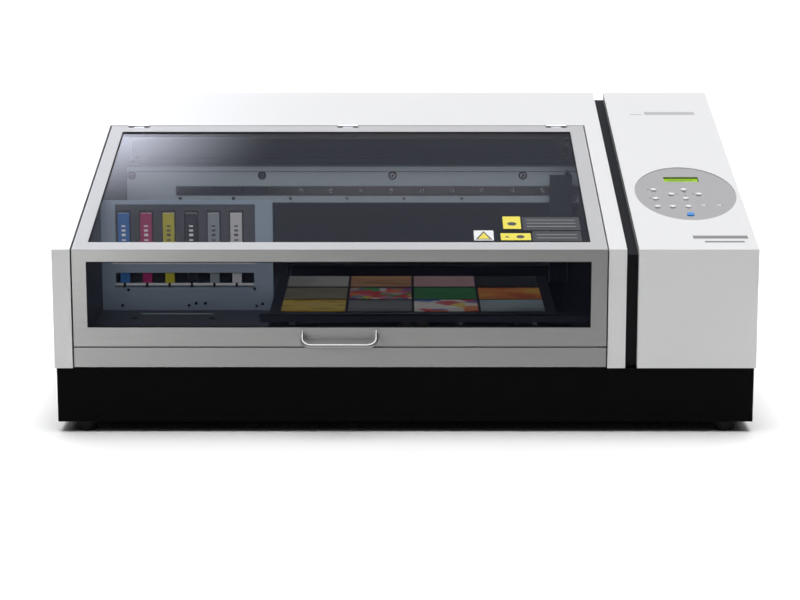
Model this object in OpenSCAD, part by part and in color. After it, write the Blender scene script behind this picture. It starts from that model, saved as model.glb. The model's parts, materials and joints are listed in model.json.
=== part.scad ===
// Flatbed UV printer: a bench-top flatbed printer with a hinged tinted cover over a moving table,
// an ink bay on the left and a control pod on the right that also parks the print carriage.
// X runs to the right, Y to the rear and Z up. The origin is on the floor, under the middle of the
// whole object. Depths (y) in the modules count from the front face of the cover, and from_front()
// shifts them to the object's frame. s and n run along and out of the slanted deck.

/* [Overall] */
// Width over the side panels
body_w = 1202; // [1200:1:1206]
// Depth from the handle's bar to the rear housing
total_d = 962; // [958:1:966]
// Height of the deck's front edge
front_h = 320; // [318:1:322]
// Height of the deck's rear edge
rear_h = 500; // [497:1:503]
// Depth of the slanted deck
deck_d = 780; // [778:1:782]
// Thickness of the painted sheet panels
sheet_t = 2; // [1.5:0.5:2.5]

/* [Base] */
// Height of the rubber feet
foot_h = 18.5; // [16:0.5:19]
// Diameter of the rubber feet
foot_d = 38; // [30:1:42]
// Distance of the feet's centres from the middle
foot_x = 551.5; // [500:0.5:560]
// Height of the base tray's rim above the floor
tray_h = 113; // [110:1:113]

/* [Cover] */
// Left edge of the cover
cover_left = -567; // [-568:0.5:-566]
// Right edge of the cover
cover_right = 343.5; // [342:0.5:344]
// Depth of the cover's rear edge
cover_rear = 591; // [590:0.5:591]
// Height of the cover's lower edge
cover_bottom = 151.6; // [151:0.2:153]
// Thickness of the cover's frame
cover_t = 12; // [10:0.5:13]
// Left edge of both windows
window_left = -543; // [-548:1:-540]
// Right edge of both windows
window_right = 316.5; // [310:0.5:320]
// Lower and upper height of the front window
front_window_z = [184.6, 299];
// Near and far depth of the top window
top_window_y = [31, 560];
// Middle of each hinge, across the cover
hinge_x = [-514, -111, 291];

/* [Handle] */
// Middle of the handle, across the cover
handle_x = -113; // [-200:1:0]
// Distance between the handle's legs
handle_w = 126; // [100:1:160]
// Radius of the handle's bar
handle_r = 4; // [3:0.5:4]
// Reach of the handle in front of the cover
handle_reach = 30; // [28:1:32]

/* [Right side] */
// Left and right edge of the white strip beside the cover
strip_x = [346, 376.5];
// Left edge of the control pod
pod_left = 397; // [396:0.5:398]
// Depth of the black recess between the strip and the pod
recess_d = 14; // [10:1:18]

/* [Control panel] */
// Centre of the oval control panel, across and in depth
panel_c = [503, 251.5];
// Half width and half depth of the oval control panel
panel_r = [90, 123.5];
// Diameter of the round keys
key_d = 10; // [9:0.5:12]
// Diameter of the power button
power_d = 13; // [11:0.5:14]

/* [Ink bay] */
// Number of ink cartridges
cartridges = 6; // [6:1:6]
// Distance between the cartridges
cartridge_pitch = 41; // [38:0.5:42]
// Middle of the first cartridge
cartridge_x = -513.5; // [-516:0.5:-512]
// Width, depth and height of a cartridge
cartridge_size = [21, 150, 88];
// Depth of the ink bay's front plate
bay_y = 300; // [295:1:302]

/* [Gantry] */
// Depth of the gantry beam's front face
beam_y = 700; // [698:1:702]
// Lower and upper height of the gantry beam
beam_z = [291, 361];
// Left and right end of the linear rail
rail_x = [-455, 560];
// Rest place of the print carriage, parked in the pod
carriage_x = 500; // [498:1:502]

/* [Table] */
// Width, depth and thickness of the print table
table_size = [504, 360, 10];
// Middle of the table, across
table_x = 13.5; // [13:0.5:14]
// Depth of the table's front edge at rest
table_y = 91; // [90:1:95]
// Height of the table's upper face at rest
table_z = 188; // [186:1:188]

/* [Hidden] */
$fn = 48;

panel_white = "#f1f1ef";
graphite = "#5d6873";
soot = "#17181a";
silver = "#b9b8b4";
steel = "#9aa0a6";

// The frame of the object and the slanted deck
face_y = handle_reach - total_d / 2;
back_y = total_d - handle_reach;
slope = (rear_h - front_h) / deck_d;
tilt = atan(slope);
half_w = body_w / 2;
seam = 0.5;                        // gap between neighbouring panels
recess_rear = 2;                   // how far the recess ends before the deck's rear edge
panel_bottom = tray_h + seam;
tray_wall = 2.5;
tray_inset = 3;                    // how far the tray stands back from the panels above it
floor_z = 153;                     // upper face of the floor beside the table
run = 0.05;                        // radial clearance of a running shaft
gap = 0.3;                         // gap between neighbouring pieces of two bodies

// Places that several pieces share
liner_left_x = -555;
pit_x = [-239, 330];               // the pit below the table
passage_y = [500, 774];            // opening through which the carriage enters the pod
passage_z = [272, 412];
hinge_y = 592;
hinge_n = -2;
hinge_w = 39;
knuckle_r = 4;
hinge_pin_r = 2;
hinge_end_w = 9.6;                 // width of each outer knuckle
hinge_slot_w = 41;
hinge_slot_y = [582, 597];
hinge_s = hinge_y / cos(tilt);
rear_lid_z = 132;                  // height of the lid over the rear of the tray
hood_x = [-275, 305];
hood_z = 303;
fan_c = [462, 225];
fan_r = 57;
guide_x = [-180, 210];             // the four columns of the table lift
guide_y = [130, 410];
column_r = 8;
lift_c = [15, 270];
table_rail_x = [-215, 245];
y_screw_c = [110, 50.5];
y_screw_r = 10;
motor_shaft_r = 4;
pulley_r = 12;
belt_t = 1.5;
belt_z = [364, 374];
pulley_y = 728;
pulley_x = [-530, 572];
motor_face_z = 381;
cap_guide_x = [455, 545];
cap_guide_y = 575;

function deck_z(y) = front_h + slope * y;
function drop(t) = t / cos(tilt);
// Side outline between two depths, from z0 up to a plane t below the deck
function under_deck(y0, y1, z0, t) =
    [[y0, z0], [y1, z0], [y1, deck_z(y1) - drop(t)], [y0, deck_z(y0) - drop(t)]];
function deck_band(y0, y1, t) =
    [[y0, deck_z(y0) - drop(t)], [y1, deck_z(y1) - drop(t)], [y1, deck_z(y1)], [y0, deck_z(y0)]];

module from_front() translate([0, face_y, 0]) children();
module on_deck() translate([0, 0, front_h]) rotate([tilt, 0, 0]) children();
module block(a, b) translate(a) cube(b - a);
module extrude_x(x0, x1, outline)
    translate([x0, 0, 0]) rotate([90, 0, 90]) linear_extrude(x1 - x0) polygon(outline);
module floor_slot(x0, x1) block([x0, 14 - gap, floor_z - 3 - gap], [x1, 776 + gap, floor_z + gap]);
module along_y(x, y, z, r, len) translate([x, y, z]) rotate([-90, 0, 0]) cylinder(r = r, h = len);
module ellipse(a, b, h) linear_extrude(h) polygon([for (i = [0:95]) [a * cos(i * 3.75), b * sin(i * 3.75)]]);
module at_panel() on_deck() translate([panel_c.x, panel_c.y / cos(tilt), 0]) children();

// ---- Base ----------------------------------------------------------------------------------

module base_tray() color(soot) from_front() difference() {
    x = half_w - tray_inset;
    x_in = x - tray_wall;
    y = [tray_inset, back_y - tray_inset];
    block([-x, y[0], foot_h], [x, y[1], tray_h]);
    block([-x_in, y[0] + tray_wall, foot_h + tray_wall], [x_in, y[1] - tray_wall, tray_h + 1]);
    block([503.5, y[1] - tray_wall - 1, 48.5], [576.5, y[1] + 1, 81.5]);
}

module rubber_feet() color("#202020") from_front()
    for (x = [-foot_x, foot_x], y = [28, 880])
        translate([x, y, 0]) cylinder(r1 = foot_d / 2 - 2, r2 = foot_d / 2, h = foot_h);

// Floor left of the pit, with the inner side wall and the pit's side wall folded from one sheet
module left_liner() color(soot) from_front() {
    t = sheet_t;
    extrude_x(liner_left_x - t, liner_left_x, under_deck(14, 776, floor_z - 3, 17));
    block([liner_left_x, 14, floor_z - 3], [pit_x[0], 776, floor_z]);
    block([pit_x[0] - t, 14, foot_h + tray_wall], [pit_x[0], 925, tray_h - 1]);
    block([pit_x[0] - t, 14, tray_h - 1], [pit_x[0], 776, floor_z - 3]);
}

// Floor below the pod, with the wall between the work area and the pod
module right_liner() color(soot) from_front() difference() {
    t = sheet_t;
    union() {
        extrude_x(pit_x[1], pit_x[1] + t, under_deck(14, passage_y[0] - 2, floor_z - 3, 17));
        block([pit_x[1], passage_y[0] - 2, floor_z - 3], [pit_x[1] + t, 776, passage_z[0]]);
        block([pit_x[1] + t, 14, floor_z - 3], [594, 776, floor_z]);
        block([pit_x[1], 14, foot_h + tray_wall], [pit_x[1] + t, 925, tray_h - 1]);
        block([pit_x[1], 14, tray_h - 1], [pit_x[1] + t, 776, floor_z - 3]);
        for (x = cap_guide_x) translate([x, cap_guide_y, floor_z]) cylinder(r = 9, h = 22);
    }
    for (x = cap_guide_x) translate([x, cap_guide_y, floor_z - 4]) cylinder(r = 5 + run, h = 40);
    for (y = [[13, recess_d + t + gap], [deck_d - recess_rear - t - gap, 777]])
        block([strip_x[1] - gap, y[0], floor_z - 4], [pod_left + gap, y[1], floor_z + 1]);
}

// Bar across the front of the pit that keeps hands off the table's front edge
module front_guard_bar() color("#20242c") from_front() {
    block([-254, 80, 177], [321, 87, table_z]);
    block([pit_x[0], 80, 100], [pit_x[0] + 5, 87, 177]);
    block([321, 80, 170], [pit_x[1], 87, table_z]);
}

module power_supply() color(steel) from_front() {
    block([-540, 100, foot_h + tray_wall], [-330, 210, foot_h + tray_wall + 50]);
    block([-520, 210, foot_h + tray_wall], [-350, 226, foot_h + tray_wall + 22]);
}

module power_inlet() color(soot) from_front() {
    y = back_y - tray_inset;
    difference() {
        union() {
            block([504, y - 30, 49], [576, y, 81]);
            block([500, y, 45], [580, y + 2, 85]);
        }
        block([526.5, y - 16, 55], [553.5, y + 3, 75]);
    }
    for (p = [[540, 69], [533, 61], [547, 61]]) along_y(p.x, y - 17, p.y, 1.5, 13);
}

// ---- Outer panels ---------------------------------------------------------------------------

module left_side_panel() color(panel_white) from_front() difference() {
    extrude_x(-half_w, -570, under_deck(0, deck_d, panel_bottom, 0));
    t = sheet_t;
    extrude_x(-half_w + t, -569, under_deck(t, deck_d - t, panel_bottom + t, t));
}

module rear_deck_panel() color(panel_white) from_front() difference() {
    extrude_x(-570, strip_x[0], deck_band(594, deck_d, sheet_t));
    for (x = hinge_x) block([x - hinge_slot_w / 2, 590, 440], [x + hinge_slot_w / 2, hinge_slot_y[1], 470]);
}

module rear_panel() color(panel_white) from_front() difference() {
    extrude_x(-570, strip_x[0], under_deck(deck_d - sheet_t, deck_d, panel_bottom, sheet_t + 0.1));
    block([-262, deck_d - 5, panel_bottom - 1], [292, deck_d + 5, 300]);
}

// Lid over the rear of the tray, with a hood that covers the table at the end of its travel
module rear_housing() color(panel_white) from_front() difference() {
    t = sheet_t;
    union() {
        block([-half_w, deck_d, panel_bottom], [half_w, back_y, rear_lid_z]);
        block([hood_x[0], deck_d, panel_bottom], [hood_x[1], back_y, hood_z]);
    }
    block([t - half_w, deck_d - 1, panel_bottom - 1], [half_w - t, back_y - t, rear_lid_z - t]);
    block([hood_x[0] + t, deck_d - 1, panel_bottom - 1], [hood_x[1] - t, back_y - t, hood_z - t]);
}

module right_strip_panel() color(panel_white) from_front() difference() {
    t = sheet_t;
    extrude_x(strip_x[0], strip_x[1], under_deck(0, deck_d, panel_bottom, 0));
    extrude_x(strip_x[0] + t, strip_x[1] - t, under_deck(t, deck_d - t, panel_bottom - 1, t));
    block([strip_x[0] - 1, passage_y[0], passage_z[0]], [strip_x[1] + 1, passage_y[1], passage_z[1]]);
    floor_slot(strip_x[0] - 1, strip_x[1] + 1);
}

module recess_channel() color(soot) from_front() difference() {
    t = sheet_t;
    x = [strip_x[1], pod_left];
    y = [recess_d, deck_d - recess_rear];
    extrude_x(x[0], x[1], under_deck(y[0], y[1], panel_bottom, recess_d));
    extrude_x(x[0] - 1, x[1] + 1, under_deck(y[0] + t, y[1] - t, panel_bottom - 1, recess_d + t));
}

module pod_shell() color(panel_white) from_front() difference() {
    t = 2.5;
    extrude_x(pod_left, half_w, under_deck(0, deck_d, panel_bottom, 0));
    extrude_x(pod_left + t, half_w - t, under_deck(t, deck_d - t, panel_bottom - 1, t));
    block([pod_left - 1, passage_y[0], passage_z[0]], [pod_left + t + 1, passage_y[1], passage_z[1]]);
    floor_slot(pod_left - 1, pod_left + t + 1);
    along_y(fan_c.x, deck_d - 5, fan_c.y, fan_r - 1, 10);
    at_panel() translate([0, 0, -8]) ellipse(panel_r.x + 0.3, panel_r.y / cos(tilt) + 0.3, 16);
}

module lower_front_panel() color(silver) from_front() {
    x = [cover_left, cover_right];
    z = [panel_bottom + 2, cover_bottom - 2.2];
    block([x[0], 0, z[0]], [x[1], sheet_t, z[1]]);
    block([x[0], sheet_t, z[1] - sheet_t], [x[1], cover_t, z[1]]);
}

// ---- Cover ------------------------------------------------------------------------------------

rebate = 4;
lip_t = 2.5;
pane_t = 3;
inner_corner = [cover_t, deck_z(cover_t) - drop(cover_t)];

module cover_top_frame() color(silver) from_front() difference() {
    extrude_x(cover_left, cover_right, [
        [0, front_h], [cover_rear, deck_z(cover_rear)],
        [cover_rear, deck_z(cover_rear) - drop(cover_t)], inner_corner
    ]);
    s = top_window_y / cos(tilt);
    on_deck() {
        block([window_left, s[0], -cover_t - 1], [window_right, s[1], 1]);
        block([window_left - rebate, s[0] - rebate, -cover_t - 1],
              [window_right + rebate, s[1] + rebate, -lip_t]);
    }
    for (x = hinge_x)
        block([x - hinge_slot_w / 2, hinge_slot_y[0], 430], [x + hinge_slot_w / 2, cover_rear + 1, 470]);
}

module cover_front_frame() color(silver) from_front() difference() {
    z = front_window_z;
    extrude_x(cover_left, cover_right,
        [[0, cover_bottom], [cover_t, cover_bottom], inner_corner, [0, front_h]]);
    block([window_left, -1, z[0]], [window_right, cover_t + 1, z[1]]);
    block([window_left - rebate, lip_t, z[0] - rebate], [window_right + rebate, cover_t + 1, z[1] + rebate]);
}

module top_window() color("#3a4150", 0.5) from_front() on_deck() {
    s = top_window_y / cos(tilt);
    m = rebate - 0.5;
    block([window_left - m, s[0] - m, -lip_t - pane_t], [window_right + m, s[1] + m, -lip_t]);
}

module front_window() color("#3a4150", 0.5) from_front() {
    z = front_window_z;
    m = rebate - 0.5;
    block([window_left - m, lip_t, z[0] - m], [window_right + m, lip_t + pane_t, z[1] + m]);
}

// Bow handle in a plane that slopes down to the front, with a round plate under each leg
handle_z = 176;
handle_drop = 35;
handle_corner = 16;
module handle() color("#c9c9c6") from_front() {
    reach = (handle_reach - handle_r) / cos(handle_drop);
    half = handle_w / 2;
    intersection() {
        translate([handle_x, 0, handle_z]) rotate([handle_drop, 0, 0]) {
            translate([-half + handle_corner, -reach, 0]) rotate([0, 90, 0])
                cylinder(r = handle_r, h = handle_w - 2 * handle_corner);
            for (side = [-1, 1]) {
                along_y(side * half, handle_corner - reach, 0, handle_r, reach);
                translate([side * (half - handle_corner), handle_corner - reach, 0])
                    rotate([0, 0, side < 0 ? 180 : 270]) rotate_extrude(angle = 90)
                        translate([handle_corner, 0]) circle(handle_r);
            }
        }
        block([handle_x - 100, -50, 100], [handle_x + 100, 0, 220]);
    }
    for (side = [-1, 1]) along_y(handle_x + side * half, -2, handle_z, 6, 2);
}

module at_hinge(x) on_deck() translate([x, hinge_s, hinge_n]) children();
module knuckle(x0, x1, r) translate([x0, 0, 0]) rotate([0, 90, 0]) cylinder(r = r, h = x1 - x0);

// Leaf under the rear deck panel, two knuckles and the pin
module hinge_bases() color(steel) from_front()
    for (x = hinge_x) at_hinge(x) {
        w = hinge_w / 2;
        in = w - hinge_end_w;
        knuckle(-w, w, hinge_pin_r);
        for (e = [[-w, -in], [in, w]]) {
            knuckle(e[0], e[1], knuckle_r);
            block([e[0], 0, -2.5], [e[1], 5, -0.2]);
        }
        block([-w, 4.6, -2.5], [w, 32, -0.2]);
    }

// Leaf under the cover's rear bar and the middle knuckle
module hinge_leaves() color(steel) from_front()
    for (x = hinge_x) at_hinge(x) {
        in = hinge_w / 2 - hinge_end_w - 0.2;
        difference() {
            union() {
                knuckle(-in, in, knuckle_r);
                block([-in, -9.5, -1], [in, 0, 1.6]);
            }
            knuckle(-in - 1, in + 1, hinge_pin_r + run);
        }
        block([-in, -9.5, hinge_n - cover_t + 2], [in, -7.5, 0]);
        block([-16, -34, hinge_n - cover_t + 2], [16, -7.5, -cover_t + 1.9]);
    }

// ---- Control panel ------------------------------------------------------------------------------

// Keys: name, place across and in depth from the panel's centre
KEYS = [
    ["key_menu", -56, 14.5], ["key_up", -1.5, 14.5], ["key_left", -26, -6],
    ["key_right", 23, -6], ["key_function", -56, -26.5], ["key_down", -2, -26.5],
    ["key_cancel", -56, -63], ["key_pause", -29, -63], ["key_enter", -1.5, -63]
];
power_c = [-1.5, -98];
key_top = 1.4;                     // top of the keys above the deck
lcd_x = [-32, 31];
lcd_y = [55.5, 79.5];
plate_top = -1.2;
plate_flange = -5;
lcd_top = -4.7;

module key_holes() {
    for (k = KEYS) translate([k[1], k[2] / cos(tilt), -10]) cylinder(r = key_d / 2 + gap, h = 20);
    translate([power_c.x, power_c.y / cos(tilt), -10]) cylinder(r = power_d / 2 + gap, h = 20);
}

module control_panel_plate() color("#9b9ca0") from_front() at_panel() difference() {
    s = panel_r.y / cos(tilt);
    union() {
        translate([0, 0, -2.6]) ellipse(panel_r.x, s, 2.6 + plate_top);
        translate([0, 0, plate_flange]) ellipse(panel_r.x + 5, s + 5, -2.6 - plate_flange);
    }
    key_holes();
    block([lcd_x[0], lcd_y[0] / cos(tilt), -10], [lcd_x[1], lcd_y[1] / cos(tilt), 10]);
}

module lcd_display() color("#8fd42f") from_front() at_panel() {
    s = lcd_y / cos(tilt);
    block([lcd_x[0] + gap, s[0] + gap, -14], [lcd_x[1] - gap, s[1] - gap, lcd_top]);
}

// A key: round cap with a collar below the panel plate that holds it in
module key(d, place) from_front() at_panel() translate([place.x, place.y / cos(tilt), 0]) {
    translate([0, 0, plate_flange - 1]) cylinder(r = d / 2, h = key_top + 1 - plate_flange);
    translate([0, 0, plate_flange - 3.5]) cylinder(r = d / 2 + 1.5, h = 3.2);
}
module white_key(i) color("#f4f4f4") key(key_d, [KEYS[i][1], KEYS[i][2]]);
module power_button() color("#2f7fd0") key(power_d, power_c);

// ---- Ink bay ------------------------------------------------------------------------------------

bay_right = -242;
bay_top = 357;
bay_rear = 462;
cell_z = [245.5, 338];
cell_w = 26;
cell_open_y = 400;

// Folded sheet: front plate with the bay opening and the level slot, and a flange beside the housing
module ink_bay_plate() color(graphite) from_front() {
    difference() {
        block([liner_left_x, bay_y, floor_z], [bay_right, bay_y + sheet_t, bay_top]);
        block([-529, bay_y - 1, 243], [-274, bay_y + 5, 349.5]);
        block([-530, bay_y - 1, 204], [-277, bay_y + 5, 223]);
    }
    block([-530, bay_y - 5, 201], [-277, bay_y, 204]);
    extrude_x(-262, -262 + sheet_t, [
        [bay_y + sheet_t, floor_z], [bay_rear, floor_z], [bay_rear, 326], [bay_y + sheet_t, 352]
    ]);
}

// Housing whose roof slopes down to the rear; the cells are open above from cell_open_y on
module ink_bay_housing() color("#2b2d31") from_front() difference() {
    y0 = bay_y + sheet_t;
    extrude_x(-540, -262, [[y0, 238], [bay_rear, 238], [bay_rear, 331], [y0, 353]]);
    for (i = [0:cartridges - 1]) {
        x = cartridge_x + i * cartridge_pitch;
        block([x - cell_w / 2, y0 - 1, cell_z[0]], [x + cell_w / 2, bay_rear - 10, cell_z[1]]);
        block([x - cell_w / 2, cell_open_y, cell_z[0]], [x + cell_w / 2, bay_rear - 10, bay_top]);
    }
}

// Ink cartridge: flat case with a recessed label field and a finger groove under it
module cartridge(i, tint) color(tint) from_front() {
    x = cartridge_x + i * cartridge_pitch;
    w = cartridge_size.x / 2;
    y = bay_y - 4;
    z = cell_z[0] + gap;
    difference() {
        block([x - w, y, z], [x + w, y + cartridge_size.y, z + cartridge_size.z]);
        block([x - w + 1, y - 1, z + 12], [x + w - 1, y + 0.4, z + 80]);
        block([x - w - 1, y + 3, z - 1], [x + w + 1, y + 8, z + 4]);
    }
}

// ---- Gantry and carriage --------------------------------------------------------------------------

// Welded frame: box beam, its lower lip, two uprights, the motor bracket and the idler's axle
module gantry_frame() color(graphite) from_front() {
    x = [-554, 590];
    y = [beam_y, beam_y + 55];
    difference() {
        block([x[0], y[0], beam_z[0]], [x[1], y[1], beam_z[1]]);
        block([x[0] - 1, y[0] + 3, beam_z[0] + 3], [x[1] + 1, y[1] - 3, beam_z[1] - 3]);
    }
    block([x[0], y[0] - 4, beam_z[0] - 1], [x[1] - 40, y[0], beam_z[0] + 15.5]);
    for (u = [[-553, -503], [540, 590]]) block([u[0], y[0] + 5, floor_z], [u[1], y[1], beam_z[0]]);
    block([548, y[1], 300], [590, y[1] + 3, motor_face_z]);
    difference() {
        block([548, y[0] + 4, motor_face_z - 3], [596, y[1] + 3, motor_face_z]);
        translate([pulley_x[1], pulley_y, motor_face_z - 4]) cylinder(r = 11, h = 5);
    }
    translate([pulley_x[0], pulley_y, beam_z[1] - 1]) cylinder(r = motor_shaft_r, h = 18);
}

rail_z = [307, 323];
rail_t = 10;
module x_rail() color("#c9ccd0") from_front() difference() {
    block([rail_x[0], beam_y - rail_t, rail_z[0]], [rail_x[1], beam_y, rail_z[1]]);
    for (z = [rail_z[0] - 1, rail_z[1] - 2.5])
        block([rail_x[0] - 1, beam_y - 6, z], [rail_x[1] + 1, beam_y - 3, z + 3.5]);
}

module x_belt() color("#1b1b1b") from_front() translate([0, 0, belt_z[0]]) {
    r_in = pulley_r + run;
    r_out = r_in + belt_t;
    for (side = [-1, 1])
        block([pulley_x[0], pulley_y + (side < 0 ? -r_out : r_in), 0],
              [pulley_x[1], pulley_y + (side < 0 ? -r_in : r_out), belt_z[1] - belt_z[0]]);
    for (e = [[pulley_x[0], -20], [pulley_x[1], 0]]) difference() {
        translate([e[0], pulley_y, 0]) cylinder(r = r_out, h = belt_z[1] - belt_z[0], $fn = 64);
        translate([e[0], pulley_y, -1]) cylinder(r = r_in, h = 20, $fn = 64);
        block([e[0] - 20 - e[1], pulley_y - 20, -1], [e[0] - e[1], pulley_y + 20, 20]);
    }
}

module toothed_pulley(x) from_front() translate([x, pulley_y, 0]) difference() {
    union() {
        translate([0, 0, belt_z[0] - 2]) cylinder(r = pulley_r, h = 14);
        for (z = [belt_z[0] - 2, belt_z[1] + 0.5])
            translate([0, 0, z]) cylinder(r = pulley_r + 2.5, h = 1.5);
    }
    translate([0, 0, belt_z[0] - 5]) cylinder(r = motor_shaft_r + run, h = 30);
}
module x_drive_pulley() color("#d0d2d4") toothed_pulley(pulley_x[1]);
module x_idler_pulley() color("#d0d2d4") toothed_pulley(pulley_x[0]);

// Square motor of the table and carriage drives, with its shaft along +Z
carriage_motor_w = 42;
table_motor_w = 57;
module motor(w) {
    translate([0, 0, -30]) cube([w, w, 50], center = true);
    translate([0, 0, -2.5]) cube([w, w, 5], center = true);
    translate([0, 0, -1]) cylinder(r = motor_shaft_r, h = 20);
}
module drive_motors() color("#2a2c30") from_front() {
    translate([pulley_x[1], pulley_y, motor_face_z]) rotate([180, 0, 0]) motor(carriage_motor_w);
    translate([y_screw_c.x, 71, y_screw_c.y]) rotate([-90, 0, 0]) motor(table_motor_w);
}

carriage_z = [330, 402];
carriage_half = 88;
module carriage_body() color("#33373c") from_front() {
    x = carriage_x;
    y = beam_y - rail_t;
    difference() {
        block([x - carriage_half, 520, carriage_z[0]], [x + carriage_half, 668, carriage_z[1]]);
        block([x - carriage_half + 2, 522, carriage_z[0] - 1],
              [x + carriage_half - 2, 666, carriage_z[1] - 2]);
    }
    block([x - carriage_half, 668, 292], [x + carriage_half, 676, carriage_z[1]]);
    for (side = [-1, 1]) difference() {
        block([x + side * 58 - 26, 676, 298], [x + side * 58 + 26, y + 5.5, 328]);
        block([x + side * 58 - 27, y - gap, rail_z[0] - gap], [x + side * 58 + 27, y + 9, rail_z[1] + gap]);
    }
    block([x - 20, 676, 363], [x + 20, pulley_y - pulley_r - 2, 375]);
}

// Three print heads side by side, with their nozzle plates
module print_heads() color("#8d9196") from_front()
    for (i = [-1:1]) {
        x = carriage_x + i * 33;
        block([x - 14, 545, 292], [x + 14, 605, 345]);
        block([x - 11, 549, 288], [x + 11, 601, 292]);
    }

module uv_lamps() color("#6f757c") from_front()
    for (side = [-1, 1]) {
        x = carriage_x + side * 68;
        block([x - 14, 540, 294], [x + 14, 610, 345]);
        block([x - 10, 546, 290], [x + 10, 604, 294]);
    }

// Cap tray below the parked heads, on two guide rods that slide in the right liner's bosses
module capping_station() color("#34383c") from_front() {
    difference() {
        block([carriage_x - 60, 538, 258], [carriage_x + 60, 612, 282]);
        block([carriage_x - 56, 542, 270], [carriage_x + 56, 608, 283]);
    }
    for (i = [-1:1]) difference() {
        block([carriage_x + i * 33 - 13, 547, 270], [carriage_x + i * 33 + 13, 603, 287.6]);
        block([carriage_x + i * 33 - 10, 550, 283], [carriage_x + i * 33 + 10, 600, 289]);
    }
    for (x = cap_guide_x) translate([x, cap_guide_y, 120]) cylinder(r = 5, h = 139);
}

// ---- Table ----------------------------------------------------------------------------------------

// Two rail beams in the tray with a linear rail on each, and the bearing blocks of the drive screw
table_rail_z = [61, 73];
module table_rails() color(steel) from_front() {
    z0 = foot_h + tray_wall;
    for (x = table_rail_x) {
        block([x - 15, 14, z0], [x + 15, 924, table_rail_z[0]]);
        block([x - 7.5, 30, table_rail_z[0]], [x + 7.5, 920, table_rail_z[1]]);
    }
    for (y = [104, 895]) difference() {
        block([y_screw_c.x - 20, y, z0], [y_screw_c.x + 20, y + 14, 72]);
        along_y(y_screw_c.x, y - 1, y_screw_c.y, y_screw_r + run, 16);
    }
}

module y_screw() color("#c2c5c8") from_front() difference() {
    along_y(y_screw_c.x, 80, y_screw_c.y, y_screw_r, 840);
    along_y(y_screw_c.x, 79, y_screw_c.y, motor_shaft_r + run, 20);
}

base_plate_z = [85, 95];
// Carriage of the table: plate, four bearing blocks, the screw's nut and the lift's bushes
module table_base() color("#70767d") from_front() difference() {
    union() {
        block([-232, 100, base_plate_z[0]], [262, 440, base_plate_z[1]]);
        for (x = table_rail_x, y = [110, 370]) difference() {
            block([x - 17, y, 65], [x + 17, y + 60, base_plate_z[0]]);
            block([x - 7.5 - gap, y - 1, 60], [x + 7.5 + gap, y + 61, table_rail_z[1] + gap]);
        }
        block([y_screw_c.x - 22, 150, 34], [y_screw_c.x + 22, 200, base_plate_z[0]]);
        for (x = guide_x, y = guide_y) translate([x, y, base_plate_z[1]]) cylinder(r = 15, h = 70);
        translate([lift_c.x, lift_c.y, base_plate_z[1]]) cylinder(r = 30, h = 25);
    }
    along_y(y_screw_c.x, 149, y_screw_c.y, y_screw_r + run, 52);
    for (x = guide_x, y = guide_y)
        translate([x, y, base_plate_z[0] - 1]) cylinder(r = column_r + run, h = 90);
    translate([lift_c.x, lift_c.y, base_plate_z[0] - 1]) cylinder(r = 20 + run, h = 50);
}

// Driven nut of the lift screw, with its belt wheel on top
module lift_nut() color("#b99a4a") from_front() translate([lift_c.x, lift_c.y, 0]) difference() {
    union() {
        translate([0, 0, 80]) cylinder(r = 20, h = 45);
        translate([0, 0, base_plate_z[1] + 25.2]) cylinder(r = 28, h = 12);
    }
    translate([0, 0, 70]) cylinder(r = column_r + run, h = 80);
}

table_under = table_z - table_size.z;
module print_table() color("#25282d") from_front() {
    x = [table_x - table_size.x / 2, table_x + table_size.x / 2];
    y = [table_y, table_y + table_size.y];
    block([x[0], y[0], table_under], [x[1], y[1], table_z]);
}

// Four guide columns and the lift screw, each with a flange under the table
module lift_columns() color("#c2c5c8") from_front() {
    spots = concat([for (x = guide_x, y = guide_y) [x, y]], [lift_c]);
    for (p = spots) translate([p.x, p.y, 0]) {
        translate([0, 0, 25]) cylinder(r = column_r, h = table_under - 25);
        translate([0, 0, table_under - 5]) cylinder(r = 14, h = 5);
    }
}

// ---- Fan ------------------------------------------------------------------------------------------

fan_y = [752, 777];
module exhaust_fan() color("#26282b") from_front() {
    difference() {
        block([fan_c.x - 60, fan_y[0], fan_c.y - 60], [fan_c.x + 60, fan_y[1], fan_c.y + 60]);
        along_y(fan_c.x, fan_y[0] - 1, fan_c.y, fan_r, 30);
    }
    along_y(fan_c.x, fan_y[1] - 3, fan_c.y, 18, 3);
    along_y(fan_c.x, fan_y[0] + 4, fan_c.y, 3, 20);
    for (a = [45, 135])
        translate([fan_c.x, fan_y[1] - 1.5, fan_c.y]) rotate([0, a, 0])
            cube([2 * fan_r + 1, 3, 4], center = true);
}

module fan_rotor() color("#3b3f44") from_front() translate([fan_c.x, fan_y[0] + 2, fan_c.y]) difference() {
    union() {
        rotate([-90, 0, 0]) cylinder(r = 20, h = 18);
        for (i = [0:6]) rotate([0, i * 360 / 7, 0]) translate([36, 9, 0]) rotate([38, 0, 0])
            cube([36, 2, 22], center = true);
    }
    rotate([-90, 0, 0]) translate([0, 0, 1.9]) cylinder(r = 3 + run, h = 20);
}

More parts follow.
